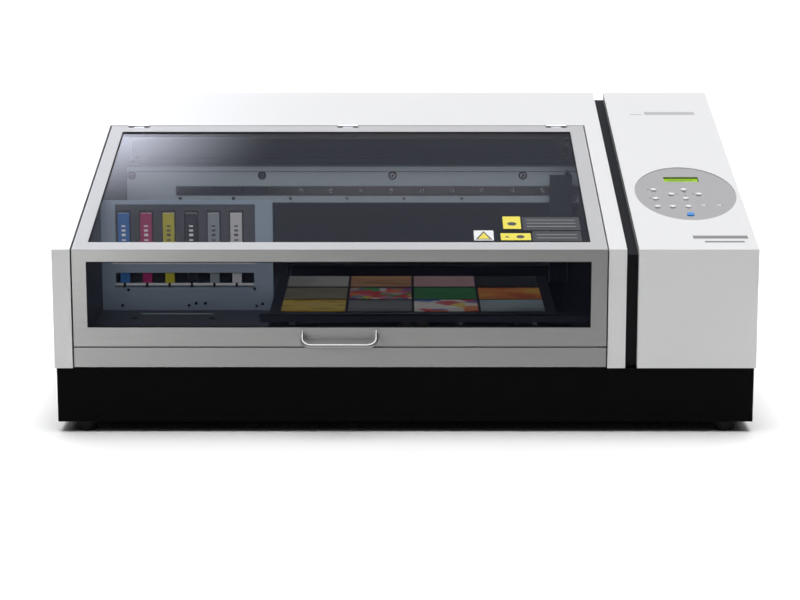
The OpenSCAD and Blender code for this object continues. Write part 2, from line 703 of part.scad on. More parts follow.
base_tray();
rubber_feet();
left_liner();
right_liner();
front_guard_bar();
left_side_panel();
rear_deck_panel();
rear_panel();
rear_housing();
right_strip_panel();
recess_channel();
pod_shell();
control_panel_plate();
lcd_display();
lower_front_panel();
ink_bay_plate();
ink_bay_housing();
gantry_frame();
x_rail();
x_belt();
drive_motors();
power_supply();
exhaust_fan();
power_inlet();
table_rails();
hinge_bases();
capping_station();
cover_top_frame();
cover_front_frame();
top_window();
front_window();
handle();
hinge_leaves();
carriage_body();
print_heads();
uv_lamps();
x_drive_pulley();
x_idler_pulley();
table_base();
y_screw();
lift_nut();
print_table();
lift_columns();
cartridge(0, "#2f7fc4");  // cartridge_cyan
cartridge(1, "#b8295e");  // cartridge_magenta
cartridge(2, "#d3cf2e");  // cartridge_yellow
cartridge(3, "#26262a");  // cartridge_black
cartridge(4, "#8d9196");  // cartridge_gloss
cartridge(5, "#e4e4e4");  // cartridge_white
white_key(0);  // key_menu
white_key(1);  // key_up
white_key(2);  // key_left
white_key(3);  // key_right
white_key(4);  // key_function
white_key(5);  // key_down
white_key(6);  // key_cancel
white_key(7);  // key_pause
white_key(8);  // key_enter
power_button();
fan_rotor();
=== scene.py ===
"""Looks of the flatbed UV printer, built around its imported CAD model.

Places come from the CAD nodes' boxes. front_point() takes millimetres across, behind the cover's
front face and above the floor, deck_point() takes millimetres across, up the slanted deck and out
of it. Both give metres in the object's own frame.
"""

import json
import math

import bmesh
import bpy
from mathutils import Matrix, Vector

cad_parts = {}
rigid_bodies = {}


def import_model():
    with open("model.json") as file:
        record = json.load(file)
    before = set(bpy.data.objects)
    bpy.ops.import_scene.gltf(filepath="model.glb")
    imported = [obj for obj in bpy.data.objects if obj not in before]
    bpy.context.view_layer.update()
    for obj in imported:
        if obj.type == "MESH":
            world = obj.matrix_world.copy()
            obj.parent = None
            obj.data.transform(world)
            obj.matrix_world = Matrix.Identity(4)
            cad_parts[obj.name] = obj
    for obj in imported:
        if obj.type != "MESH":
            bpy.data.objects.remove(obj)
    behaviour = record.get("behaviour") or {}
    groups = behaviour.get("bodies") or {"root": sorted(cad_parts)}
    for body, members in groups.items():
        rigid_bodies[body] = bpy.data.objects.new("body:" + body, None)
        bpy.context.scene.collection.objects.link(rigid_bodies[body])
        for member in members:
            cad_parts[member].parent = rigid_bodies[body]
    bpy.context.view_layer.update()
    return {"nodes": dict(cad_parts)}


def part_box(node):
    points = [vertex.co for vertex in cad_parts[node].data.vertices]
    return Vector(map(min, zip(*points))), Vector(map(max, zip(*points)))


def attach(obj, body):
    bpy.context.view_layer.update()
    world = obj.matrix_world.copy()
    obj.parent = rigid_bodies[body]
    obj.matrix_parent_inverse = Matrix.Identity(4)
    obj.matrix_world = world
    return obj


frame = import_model()
NODES = frame["nodes"]
SCENE = bpy.context.scene
MM = 0.001
# The deck panel's back face, behind the cover's front face, in millimetres
DECK_BACK_Y = 780


# ---- Places ------------------------------------------------------------------------------------

FACE_LOW, FACE_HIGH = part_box("cover_front_frame")
TOP_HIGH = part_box("cover_top_frame")[1]
FRONT = FACE_LOW.y
DECK_FRONT_Z = FACE_HIGH.z
TILT = math.atan2(TOP_HIGH.z - DECK_FRONT_Z, TOP_HIGH.y - FRONT)
DECK = Matrix.Translation((0, FRONT, DECK_FRONT_Z)) @ Matrix.Rotation(TILT, 4, "X")
UPRIGHT = Matrix.Translation((0, FRONT, 0))


def front_point(x, y, z):
    return UPRIGHT @ (Vector((x, y, z)) * MM)


def deck_point(x, s, n):
    return DECK @ (Vector((x, s, n)) * MM)


def from_front(v):
    """A point of the object's frame in millimetres from the cover's front face."""
    return (UPRIGHT.inverted() @ v) / MM


# ---- Materials ---------------------------------------------------------------------------------

def shader_base(name):
    """A new material, its node tree, its shader and its object coordinates."""
    material = bpy.data.materials.new(name)
    material.use_nodes = True
    tree = material.node_tree
    shader = tree.nodes["Principled BSDF"]
    coords = tree.nodes.new("ShaderNodeTexCoord")
    return material, tree, shader, coords.outputs["Object"]


def scaled(tree, coords, scale):
    mapping = tree.nodes.new("ShaderNodeMapping")
    mapping.inputs["Scale"].default_value = scale
    tree.links.new(coords, mapping.inputs["Vector"])
    return mapping.outputs["Vector"]


def ramp(tree, value, stops, interpolation="LINEAR"):
    """Colours along value: stops are (place, colour) pairs."""
    node = tree.nodes.new("ShaderNodeValToRGB")
    node.color_ramp.interpolation = interpolation
    points = node.color_ramp.elements
    while len(points) < len(stops):
        points.new(0.5)
    for point, (place, colour) in zip(points, stops):
        point.position = place
        point.color = (*colour, 1)
    tree.links.new(value, node.inputs["Fac"])
    return node.outputs["Color"]


def add_bump(tree, shader, height, strength, distance=0.0005):
    bump = tree.nodes.new("ShaderNodeBump")
    bump.inputs["Strength"].default_value = strength
    bump.inputs["Distance"].default_value = distance
    tree.links.new(height, bump.inputs["Height"])
    tree.links.new(bump.outputs["Normal"], shader.inputs["Normal"])


def spread(tree, value, low, high):
    node = tree.nodes.new("ShaderNodeMapRange")
    node.inputs["To Min"].default_value = low
    node.inputs["To Max"].default_value = high
    tree.links.new(value, node.inputs["Value"])
    return node.outputs["Result"]


def noise(tree, coords, scale, detail=3.0):
    node = tree.nodes.new("ShaderNodeTexNoise")
    node.inputs["Scale"].default_value = scale
    node.inputs["Detail"].default_value = detail
    tree.links.new(coords, node.inputs["Vector"])
    return node.outputs["Fac"]


def shade(colour, factor):
    return tuple(min(1.0, c * factor) for c in colour)


def finish_of(name, colour, rough, metal=0.0, grain=900, stretch=(1, 1, 1), bump=0.08, vary=0.05,
              rough_spread=0.06, **sockets):
    """A surface with a fine grain: its colour, roughness and relief all follow one noise."""
    material, tree, shader, coords = shader_base(name)
    grains = noise(tree, scaled(tree, coords, stretch), grain)
    blotches = noise(tree, coords, 6.0, 4.0)
    both = tree.nodes.new("ShaderNodeMath")
    both.operation = "MULTIPLY_ADD"
    both.inputs[1].default_value = 0.5
    tree.links.new(grains, both.inputs[0])
    halved = spread(tree, blotches, 0.0, 0.5)
    tree.links.new(halved, both.inputs[2])
    tints = [(0.25, shade(colour, 1 - vary)), (0.75, shade(colour, 1 + vary))]
    tree.links.new(ramp(tree, both.outputs[0], tints), shader.inputs["Base Color"])
    roughness = spread(tree, both.outputs[0], max(0.02, rough - rough_spread), rough + rough_spread)
    tree.links.new(roughness, shader.inputs["Roughness"])
    shader.inputs["Metallic"].default_value = metal
    for socket, value in sockets.items():
        shader.inputs[socket.replace("_", " ")].default_value = value
    if bump:
        add_bump(tree, shader, grains, bump)
    return material


def tinted_pane(name, alpha, shine, tint):
    """Smoked acrylic: see-through, polished, with a faint haze."""
    material, tree, shader, coords = shader_base(name)
    haze = noise(tree, coords, 3.0)
    tints = [(0.3, tint), (0.7, shade(tint, 1.4))]
    tree.links.new(ramp(tree, haze, tints), shader.inputs["Base Color"])
    tree.links.new(spread(tree, haze, 0.02, 0.045), shader.inputs["Roughness"])
    shader.inputs["IOR"].default_value = 1.49
    shader.inputs["Specular IOR Level"].default_value = shine
    shader.inputs["Alpha"].default_value = alpha
    return material


def glowing(name, colour, strength, rough=0.25):
    material, tree, shader, coords = shader_base(name)
    cloud = noise(tree, coords, 60.0)
    tints = [(0.2, shade(colour, 0.88)), (0.8, shade(colour, 1.1))]
    tree.links.new(ramp(tree, cloud, tints), shader.inputs["Base Color"])
    shader.inputs["Emission Color"].default_value = (*colour, 1)
    shader.inputs["Emission Strength"].default_value = strength
    shader.inputs["Roughness"].default_value = rough
    return material


WHITE_PAINT = finish_of("white_paint", (0.81, 0.81, 0.805), 0.42, grain=1400, bump=0.05, vary=0.012)
BLACK_COAT = finish_of("black_coat", (0.0025, 0.0025, 0.003), 0.5, grain=1800, bump=0.10, vary=0.2,
                       Specular_IOR_Level=0.04)
DARK_PAINT = finish_of("dark_paint", (0.028, 0.030, 0.042), 0.5, grain=1500, bump=0.08, vary=0.12)
TABLE_BLACK = finish_of("table_black", (0.007, 0.008, 0.014), 0.5, grain=1500, bump=0.08, vary=0.12,
                        Specular_IOR_Level=0.1)
GRAPHITE = finish_of("graphite_paint", (0.40, 0.46, 0.51), 0.45, grain=1500, bump=0.06, vary=0.05)
# One brushed silver in two tones: this darker copy on the upright front faces is painted shade, and the
# lighter deck copy below is painted light on the upward-facing frame.
SHADED_SILVER = finish_of("brushed_silver", (0.235, 0.235, 0.232), 0.38, metal=0.9, grain=700,
                   stretch=(0.03, 1, 1), bump=0.10, vary=0.06, rough_spread=0.08)
LIT_SILVER_DECK = finish_of("brushed_silver_deck", (0.52, 0.52, 0.525), 0.55, metal=0.2, grain=700,
                        stretch=(0.03, 1, 1), bump=0.08, vary=0.04, rough_spread=0.08)
STEEL = finish_of("ground_steel", (0.52, 0.53, 0.55), 0.34, metal=1.0, grain=600, stretch=(0.05, 1, 1))
BRIGHT_STEEL = finish_of("bright_steel", (0.72, 0.73, 0.75), 0.22, metal=1.0, grain=800)
SATIN_CHROME = finish_of("satin_chrome", (0.34, 0.34, 0.34), 0.38, metal=1.0, grain=900, bump=0.03)
ALLOY = finish_of("alloy", (0.60, 0.61, 0.63), 0.42, metal=0.9, grain=500)
BRASS = finish_of("turned_brass", (0.60, 0.44, 0.18), 0.32, metal=1.0, grain=700)
RUBBER = finish_of("rubber", (0.010, 0.010, 0.011), 0.75, grain=1200, bump=0.2, vary=0.2,
                   Specular_IOR_Level=0.2)
BLACK_PLASTIC = finish_of("black_plastic", (0.006, 0.006, 0.008), 0.55, grain=1300, bump=0.15,
                          vary=0.15, Specular_IOR_Level=0.12)
DARK_GREY_PLASTIC = finish_of("dark_grey_plastic", (0.060, 0.062, 0.072), 0.5, grain=1300, bump=0.12)
PANEL_GREY = finish_of("panel_grey", (0.41, 0.405, 0.41), 0.5, grain=1600, bump=0.05, vary=0.02)
KEY_WHITE = finish_of("key_white", (0.86, 0.86, 0.86), 0.3, grain=900, bump=0.03, vary=0.01)
KEY_BLUE = glowing("key_blue", (0.04, 0.24, 0.62), 0.25)
SCREEN_GREEN = glowing("screen_green", (0.30, 0.55, 0.012), 0.22)
MARK_SOFT_DARK = finish_of("mark_soft_dark", (0.16, 0.16, 0.17), 0.5, grain=900, bump=0.02)
CAPTION_GREY = finish_of("caption_grey", (0.36, 0.36, 0.375), 0.5, grain=900, bump=0.02)
STRIP_GREY = finish_of("strip_grey", (0.24, 0.24, 0.245), 0.5, grain=900, bump=0.02)
RING_GREY = finish_of("ring_grey", (0.50, 0.50, 0.51), 0.5, grain=900, bump=0.02)
MARK_DARK = finish_of("mark_dark", (0.05, 0.05, 0.055), 0.5, grain=900, bump=0.02)
CAP_GREY = finish_of("cap_grey", (0.42, 0.42, 0.43), 0.45, grain=900, bump=0.05)
LIGHT_STRIP = finish_of("light_strip", (0.70, 0.70, 0.72), 0.4, grain=900, bump=0.04)
STICKER_YELLOW = finish_of("sticker_yellow", (0.86, 0.74, 0.05), 0.4, grain=500, bump=0.02, vary=0.02)
STICKER_WHITE = finish_of("sticker_white", (0.86, 0.86, 0.86), 0.4, grain=500, bump=0.02, vary=0.02)
STICKER_BLACK = finish_of("sticker_black", (0.012, 0.014, 0.014), 0.4, grain=500, bump=0.02, vary=0.1)
TOP_PANE = tinted_pane("tinted_top_pane", 0.27, 0.22, (0.010, 0.012, 0.022))
FRONT_PANE = tinted_pane("tinted_front_pane", 0.40, 0.05, (0.003, 0.004, 0.010))
BAY_PAINT = finish_of("bay_paint", (0.30, 0.375, 0.47), 0.45, grain=1500, bump=0.06, vary=0.05)
SOFT_MARK = finish_of("soft_mark", (0.60, 0.60, 0.61), 0.4, grain=900, bump=0.02)

INK_COLOURS = {
    "cyan": (0.04, 0.16, 0.44), "magenta": (0.38, 0.025, 0.13), "yellow": (0.50, 0.45, 0.02),
    "black": (0.018, 0.018, 0.024), "gloss": (0.26, 0.29, 0.32), "white": (0.56, 0.56, 0.57),
}
INK = {k: finish_of("ink_label_" + k, c, 0.42, grain=900, bump=0.03) for k, c in INK_COLOURS.items()}

NODE_FINISH = {
    "base_tray": BLACK_COAT, "rubber_feet": RUBBER, "left_liner": DARK_PAINT,
    "right_liner": DARK_PAINT, "front_guard_bar": DARK_PAINT, "left_side_panel": WHITE_PAINT,
    "rear_deck_panel": WHITE_PAINT, "rear_panel": WHITE_PAINT, "rear_housing": WHITE_PAINT,
    "right_strip_panel": WHITE_PAINT, "recess_channel": BLACK_PLASTIC, "pod_shell": WHITE_PAINT,
    "control_panel_plate": PANEL_GREY, "lcd_display": SCREEN_GREEN, "lower_front_panel": SHADED_SILVER,
    "ink_bay_plate": BAY_PAINT, "ink_bay_housing": DARK_GREY_PLASTIC, "gantry_frame": GRAPHITE,
    "x_rail": STEEL, "x_belt": RUBBER, "drive_motors": BLACK_COAT, "power_supply": STEEL,
    "exhaust_fan": BLACK_PLASTIC, "power_inlet": BLACK_PLASTIC, "table_rails": STEEL,
    "hinge_bases": STEEL, "capping_station": BLACK_PLASTIC, "cover_top_frame": LIT_SILVER_DECK,
    "cover_front_frame": SHADED_SILVER, "top_window": TOP_PANE, "front_window": FRONT_PANE,
    "handle": SATIN_CHROME, "hinge_leaves": STEEL, "carriage_body": BLACK_COAT,
    "print_heads": STEEL, "uv_lamps": ALLOY, "x_drive_pulley": ALLOY, "x_idler_pulley": ALLOY,
    "table_base": DARK_PAINT, "y_screw": BRIGHT_STEEL, "lift_nut": BRASS, "print_table": TABLE_BLACK,
    "lift_columns": BRIGHT_STEEL, "power_button": KEY_BLUE, "fan_rotor": BLACK_PLASTIC,
}
KEY_EDGE_MM, CARTRIDGE_EDGE_MM = 1.1, 0.5
# Width of the rounded edges of each other CAD node, in millimetres
EDGE_MM = {
    "base_tray": 1.2, "left_side_panel": 0.9, "pod_shell": 1.2, "right_strip_panel": 0.9,
    "rear_housing": 0.9, "cover_top_frame": 1.8, "cover_front_frame": 1.8, "print_table": 0.8,
    "lower_front_panel": 0.8, "rear_deck_panel": 0.5, "ink_bay_plate": 0.4, "gantry_frame": 1.0,
    "carriage_body": 0.9, "front_guard_bar": 0.6, "ink_bay_housing": 0.6, "x_rail": 0.4,
    "control_panel_plate": 0.3, "capping_station": 0.6, "drive_motors": 0.8,
}


def round_edges(piece, width_mm, segments=3):
    bevel = piece.modifiers.new("rounded_edges", "BEVEL")
    bevel.width = width_mm * MM
    bevel.segments = segments
    bevel.limit_method = "ANGLE"
    bevel.angle_limit = math.radians(40)
    return piece


# Beginnings of the names of what is seen through the windows, lit by the interior fill
INSIDE = ("ink_bay_plate", "ink_bay_housing", "gantry_frame", "x_rail", "left_liner", "print_table",
          "carriage_body", "cartridge_", "ink_label", "level_", "bay_", "floor_", "rail_", "beam_",
          "sensor_", "x_belt", "front_guard_bar", "parking_hood")


def dress_nodes():
    """Gives each CAD node its finish and rounds its edges."""
    for name, node in NODES.items():
        if name.startswith("cartridge_"):
            material = INK[name[len("cartridge_"):]]
        elif name.startswith("key_"):
            material = KEY_WHITE
        else:
            material = NODE_FINISH[name]
        if not node.material_slots:
            node.data.materials.append(material)
        for slot in node.material_slots:
            slot.material = material
        if name in EDGE_MM:
            round_edges(node, EDGE_MM[name])
        elif name.startswith(("key_", "power_button")):
            round_edges(node, KEY_EDGE_MM)
        elif name.startswith("cartridge_"):
            round_edges(node, CARTRIDGE_EDGE_MM)


# ---- Building pieces ---------------------------------------------------------------------------

def add_box(bm, low, high, place=UPRIGHT):
    """A box between two corners in millimetres, set in the object's frame by place."""
    low, high = Vector(low) * MM, Vector(high) * MM
    size, middle = high - low, (low + high) / 2
    box = Matrix.Translation(middle) @ Matrix.Diagonal((*size, 1))
    bmesh.ops.create_cube(bm, size=1, matrix=place @ box)


def add_disc(bm, centre, radius, thickness, place=UPRIGHT, axis="Z", sides=24):
    """A round plate from its centre plane along axis, sizes in millimetres."""
    turn = {"Z": Matrix.Identity(4), "Y": Matrix.Rotation(math.radians(-90), 4, "X"),
            "X": Matrix.Rotation(math.radians(90), 4, "Y")}[axis]
    middle = Matrix.Translation(Vector(centre) * MM)
    bmesh.ops.create_cone(bm, cap_ends=True, segments=sides, radius1=radius * MM, radius2=radius * MM,
                          depth=thickness * MM, matrix=place @ middle @ turn)


def add_prism(bm, outline, n0, n1, place):
    """A flat outline in the x and s directions, between two heights n, sizes in millimetres."""
    low = [bm.verts.new(place @ (Vector((x, s, n0)) * MM)) for x, s in outline]
    high = [bm.verts.new(place @ (Vector((x, s, n1)) * MM)) for x, s in outline]
    bm.faces.new(list(reversed(low)))
    bm.faces.new(high)
    for i in range(len(outline)):
        j = (i + 1) % len(outline)
        bm.faces.new((low[i], low[j], high[j], high[i]))


def piece(name, body, material, build, edge_mm=0.0, slot=None):
    """A new mesh piece that rides on a body. build fills its mesh."""
    bm = bmesh.new()
    build(bm)
    bmesh.ops.recalc_face_normals(bm, faces=bm.faces)
    mesh = bpy.data.meshes.new(name)
    bm.to_mesh(mesh)
    bm.free()
    made = bpy.data.objects.new(name, mesh)
    SCENE.collection.objects.link(made)
    mesh.materials.append(material)
    if edge_mm:
        round_edges(made, edge_mm, 2)
    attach(made, body)
    return made


def smooth_by_angle(made, degrees=35):
    for polygon in made.data.polygons:
        polygon.use_smooth = True
    made.data.set_sharp_from_angle(angle=math.radians(degrees))
    return made


def tube(name, body, material, points, radius_mm):
    """A round bar or wire through points in metres."""
    curve = bpy.data.curves.new(name, "CURVE")
    curve.dimensions = "3D"
    curve.bevel_depth = radius_mm * MM
    curve.bevel_resolution = 4
    curve.use_fill_caps = True
    spline = curve.splines.new("NURBS")
    spline.points.add(len(points) - 1)
    for point, place in zip(spline.points, points):
        point.co = (*place, 1)
    spline.use_endpoint_u = True
    spline.order_u = 3
    curve.materials.append(material)
    made = bpy.data.objects.new(name, curve)
    SCENE.collection.objects.link(made)
    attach(made, body)
    return made


# ---- Work table and its sample tiles ------------------------------------------------------------

def tile_finish(name, kind, colours, scale):
    """Printed sample: kind is grain, petals, dots, flames or plain, colours run from dark to light."""
    material, tree, shader, coords = shader_base(name)
    if kind == "grain":
        value = noise(tree, scaled(tree, coords, (0.12, 1, 1)), scale, 6.0)
    elif kind == "petals":
        cells = tree.nodes.new("ShaderNodeTexVoronoi")
        cells.inputs["Scale"].default_value = scale
        warped = tree.nodes.new("ShaderNodeMixRGB")
        warped.inputs["Fac"].default_value = 0.04
        tree.links.new(coords, warped.inputs["Color1"])
        swirl = tree.nodes.new("ShaderNodeTexNoise")
        swirl.inputs["Scale"].default_value = scale * 0.5
        tree.links.new(coords, swirl.inputs["Vector"])
        tree.links.new(swirl.outputs["Color"], warped.inputs["Color2"])
        tree.links.new(warped.outputs["Color"], cells.inputs["Vector"])
        separate = tree.nodes.new("ShaderNodeSeparateColor")
        tree.links.new(cells.outputs["Color"], separate.inputs["Color"])
        value = separate.outputs["Red"]
    elif kind == "dots":
        cells = tree.nodes.new("ShaderNodeTexVoronoi")
        cells.inputs["Scale"].default_value = scale
        cells.inputs["Randomness"].default_value = 0.0
        tree.links.new(coords, cells.inputs["Vector"])
        value = spread(tree, cells.outputs["Distance"], 0.0, 1.4)
    elif kind == "flames":
        value = noise(tree, scaled(tree, coords, (0.45, 1, 1)), scale, 8.0)
    else:
        value = noise(tree, coords, scale, 2.0)
    steps = len(colours) - 1
    low, high = (0.02, 0.98) if kind in ("petals", "dots") else (0.34, 0.66)
    stops = [(low + (high - low) * i / steps, c) for i, c in enumerate(colours)]
    hard = "CONSTANT" if kind == "petals" else "LINEAR"
    tree.links.new(ramp(tree, value, stops, hard), shader.inputs["Base Color"])
    shader.inputs["Roughness"].default_value = 0.32
    shader.inputs["Coat Weight"].default_value = 0.4
    add_bump(tree, shader, value, 0.25)
    return material


RED, ORANGE, YELLOW = (0.62, 0.03, 0.04), (0.80, 0.22, 0.03), (0.86, 0.62, 0.06)
GREEN, BLUE, CREAM = (0.05, 0.36, 0.10), (0.06, 0.16, 0.55), (0.82, 0.78, 0.72)
PINK, TEAL, VIOLET = (0.72, 0.22, 0.36), (0.05, 0.36, 0.38), (0.20, 0.08, 0.32)
# Columns from left to right, each from the back row to the front row
TILES = [
    [("plain", [(0.34, 0.34, 0.33), (0.50, 0.49, 0.47)], 14),
     ("grain", [(0.16, 0.15, 0.09), (0.30, 0.28, 0.18)], 90),
     ("flames", [(0.34, 0.20, 0.005), (0.66, 0.45, 0.01), (0.74, 0.55, 0.06)], 60)],
    [("grain", [(0.26, 0.12, 0.05), (0.56, 0.29, 0.14), (0.66, 0.38, 0.20)], 80),
     ("petals", [RED, PINK, CREAM, TEAL, YELLOW, VIOLET, RED, GREEN, ORANGE], 60),
     ("dots", [(0.06, 0.065, 0.075), (0.15, 0.155, 0.16)], 330)],
    [("plain", [(0.56, 0.33, 0.36), (0.68, 0.44, 0.46)], 10),
     ("grain", [(0.015, 0.16, 0.03), (0.03, 0.26, 0.06)], 60),
     ("petals", [CREAM, RED, CREAM, BLUE, YELLOW, CREAM, ORANGE, VIOLET], 34)],
    [("dots", [(0.004, 0.004, 0.005), (0.022, 0.024, 0.020)], 300),
     ("flames", [(0.45, 0.06, 0.02), (0.78, 0.26, 0.04), (0.86, 0.62, 0.08)], 26),
     ("plain", [(0.24, 0.33, 0.37), (0.34, 0.44, 0.48)], 12)],
]
TILE_COLUMN_MM, TILE_GAP_MM, TILE_T_MM = 117.4, 4.6, 1.5
# Near and far edge of each row, from the back row to the front row, behind the table's front edge
TILE_ROWS = ((251, 352), (135, 237), (24, 126))


def sample_tiles():
    low, high = (from_front(v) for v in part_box("print_table"))
    centre_x = (low.x + high.x) / 2
    for column, tiles in enumerate(TILES):
        for row, (kind, colours, scale) in enumerate(tiles):
            x = centre_x + (column - 1.5) * TILE_COLUMN_MM
            y0, y1 = (low.y + y for y in TILE_ROWS[row])
            half_x = (TILE_COLUMN_MM - TILE_GAP_MM) / 2
            name = f"sample_tile_{column + 1}_{row + 1}"
            material = tile_finish(name + "_print", kind, colours, scale)

            def build(bm):
                add_box(bm, (x - half_x, y0, high.z), (x + half_x, y1, high.z + TILE_T_MM))

            piece(name, "table", material, build, 0.4, "dark_liner")


# ---- Ink bay ------------------------------------------------------------------------------------

# Half the width of a cartridge's label, and the number of plain bars on it in place of text
LABEL_HALF_MM, LABEL_BARS = 9.2, 6


def ink_bay_details():
    lip_front = from_front(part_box("ink_bay_plate")[0]).y
    plate_face = lip_front + 5
    middles = []
    for colour in INK_COLOURS:
        low, high = (from_front(v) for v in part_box("cartridge_" + colour))
        middle, face = (low.x + high.x) / 2, low.y
        middles.append(middle)

        def label(bm):
            half, z0, z1 = LABEL_HALF_MM, low.z + 12.3, high.z - 8.3
            add_box(bm, (middle - half, face + 0.05, z0), (middle + half, face + 0.38, z1))

        piece("ink_label_" + colour, "ink_" + colour, INK[colour], label, 0, "ink_" + colour)
        band = STICKER_WHITE if colour in ("black", "magenta", "cyan") else MARK_DARK

        def marks(bm):
            for i in range(LABEL_BARS):
                z = low.z + 20 + 8.6 * i
                tall = 4.6 - (i % 3) * 0.9
                add_box(bm, (middle - 3.6, face, z), (middle + 3.6, face + 0.05, z + tall))

        piece("ink_label_marks_" + colour, "ink_" + colour, band, marks, 0, "ink_" + colour)

        def cap(bm):
            add_box(bm, (low.x - 0.05, face + 0.02, high.z - 7.5), (high.x + 0.05, face + 6, high.z + 0.05))

        piece("ink_label_cap_" + colour, "ink_" + colour, LIGHT_STRIP, cap, 0.4, "ink_" + colour)

        def tab(bm):
            add_box(bm, (middle - 8.5, lip_front + 7.5, 203.5), (middle + 8.5, lip_front + 16, 224))

        piece("level_tab_" + colour, "root", INK[colour], tab, 0.5, "ink_" + colour)

    def lip(bm):
        add_box(bm, (-530, lip_front - 0.4, 200.2), (-277, lip_front, 204.4))

    piece("level_slot_lip", "root", LIGHT_STRIP, lip, 0.15, "graphite_steel")

    def notches(bm):
        for x in middles:
            add_box(bm, (x - 2.2, lip_front - 0.8, 198.5), (x + 2.2, lip_front - 0.4, 205.5))

    piece("level_slot_notches", "root", BLACK_PLASTIC, notches, 0, "graphite_steel")

    def edge(bm):
        add_box(bm, (-536, lip_front + 4.4, 239.2), (-274.5, lip_front + 4.95, 241.6))

    piece("bay_edge_strip", "root", LIGHT_STRIP, edge, 0, "graphite_steel")
    # The plate's small screws: pairs below the slot's ends and a loose group of six lower down
    screws = [(-507.6, 191.3), (-276, 193), (-518.8, 162), (-397, 162), (-384, 166), (-367, 166),
              (-273, 161), (-262, 165)]
    screw_heads("bay_plate_screws", [(x, plate_face, z) for x, z in screws], 2.8, BLACK_PLASTIC)

    def floor_strip(bm):
        add_box(bm, (-481, 263, 153), (-350, 267, 154))

    piece("floor_light_strip", "root", GRAPHITE, floor_strip, 0.2, "dark_liner")

    # Two dark discs at the ends of the floor strip: painted shade where the floor has two holes.
    def floor_plugs(bm):
        for x in (-488.7, -349):
            add_disc(bm, (x, 225, 153.4), 5.5, 0.8)

    piece("floor_plugs", "root", RUBBER, floor_plugs, 0.2, "dark_liner")


# ---- Gantry ---------------------------------------------------------------------------------------

def screw_heads(name, places, radius, material, proud=1.2, slot="bare_steel", socket=True):
    """Cap screws on an upright face: each place is the head's middle on the face, in millimetres."""

    def build(bm):
        for x, y, z in places:
            add_disc(bm, (x, y - proud / 2, z), radius, proud, axis="Y", sides=20)

    made = smooth_by_angle(piece(name, "root", material, build, 0.12 if proud > 0.5 else 0, slot))
    if socket:

        # Small dark discs on the heads: painted shade in the screws' sockets.
        def socket_shade_discs(bm):
            for x, y, z in places:
                add_disc(bm, (x, y - proud, z), radius * 0.45, 0.12, axis="Y", sides=6)

        piece(name + "_sockets", "root", MARK_DARK, socket_shade_discs, 0, slot)
    return made


def gantry_details():
    rail_low, rail_high = (from_front(v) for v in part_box("x_rail"))
    rail_mid = (rail_low.z + rail_high.z) / 2
    pitch, end_gap = 60, 7.5
    count = int((rail_high.x - rail_low.x - 2 * end_gap) // pitch) + 1
    xs = [rail_low.x + end_gap + pitch * i for i in range(count)]
    screw_heads("rail_screws", [(x, rail_low.y, rail_mid) for x in xs], 4.2, BRIGHT_STEEL, 0.15)
    beam_y, beam_z = rail_high.y, 344
    beam_xs = [-285.1 + 259.3 * i for i in range(-1, 4)]
    screw_heads("beam_washers", [(x, beam_y, beam_z) for x in beam_xs], 8.5, BLACK_COAT, 1.0,
                socket=False)
    screw_heads("beam_screws", [(x, beam_y - 1, beam_z) for x in beam_xs], 6.2, BRIGHT_STEEL, 4)
    lip_xs = [-448, -342, -229, -116, -3, 112, 338, 450]
    screw_heads("beam_lip_screws", [(x, beam_y - 4, 298.5) for x in lip_xs], 3.4, BRIGHT_STEEL, 0.3)

    beam_left, beam_right, fold_z = -553, 589, 352

    # A thin dark strip just below the top fold: painted shade in the beam's crease.
    def fold_shade_line(bm):
        add_box(bm, (beam_left, beam_y - 0.5, fold_z - 1.2), (beam_right, beam_y - 0.1, fold_z))

    piece("beam_fold_groove", "root", MARK_DARK, fold_shade_line, 0, "graphite_steel")

    def fold(bm):
        add_box(bm, (beam_left, beam_y - 1.2, fold_z), (beam_right, beam_y, fold_z + 9))

    piece("beam_top_fold", "root", GRAPHITE, fold, 0.4, "graphite_steel")

    def clip(bm):
        add_box(bm, (316, beam_y - 6, 346), (328, beam_y - 1.5, 350))
        add_box(bm, (319, beam_y - 6, 338), (324, beam_y - 1.5, 356))

    piece("beam_end_clip", "root", BRIGHT_STEEL, clip, 0.5, "bare_steel")

    def hood(bm):
        add_box(bm, (284, 650, 230), (328, 652, 350))
        add_box(bm, (284, 652, 348), (328, 668, 350))

    piece("parking_hood", "root", DARK_PAINT, hood, 0.4, "dark_liner")

    lining_y0, lining_y1, lining_z = DECK_BACK_Y - 4.3, DECK_BACK_Y - 2.4, 301

    def rear_lining(bm):
        add_box(bm, (-554, lining_y0, lining_z), (329, lining_y1, 407))
        add_box(bm, (294, lining_y0, 114), (329, lining_y1, lining_z))
        add_box(bm, (-554, lining_y0, 154), (-264, lining_y1, lining_z))

    piece("rear_lining", "root", DARK_PAINT, rear_lining, 0.3, "dark_liner")

    def seam_strip(bm):
        add_box(bm, (-596, 926.6, 113.05), (596, 929.95, 118))

    piece("rear_seam_strip", "root", RUBBER, seam_strip, 0, "rubber")

    def bar_trim(bm):
        add_box(bm, (-254, 80, 188), (321, 87, 192))

    piece("guard_bar_trim", "root", DARK_PAINT, bar_trim, 0.8, "dark_liner")


def loose_wire():
    """The cover sensor's white lead: a short arc clipped at both ends on the right inner wall."""
    places = [(324, 766, 398), (320, 762, 403), (314, 760, 399), (311, 758, 390), (313, 756, 381),
              (318, 756, 376), (325, 756, 374)]
    tube("sensor_lead", "root", LIGHT_STRIP, [front_point(*p) for p in places], 1.3)

    def clips(bm):
        for x, y, z in (places[0], places[-1]):
            add_box(bm, (x - 4, y - 5, z - 5), (330, y + 5, z + 5))

    piece("sensor_lead_clips", "root", LIGHT_STRIP, clips, 0.6, "key_white")


# ---- Cover ----------------------------------------------------------------------------------------

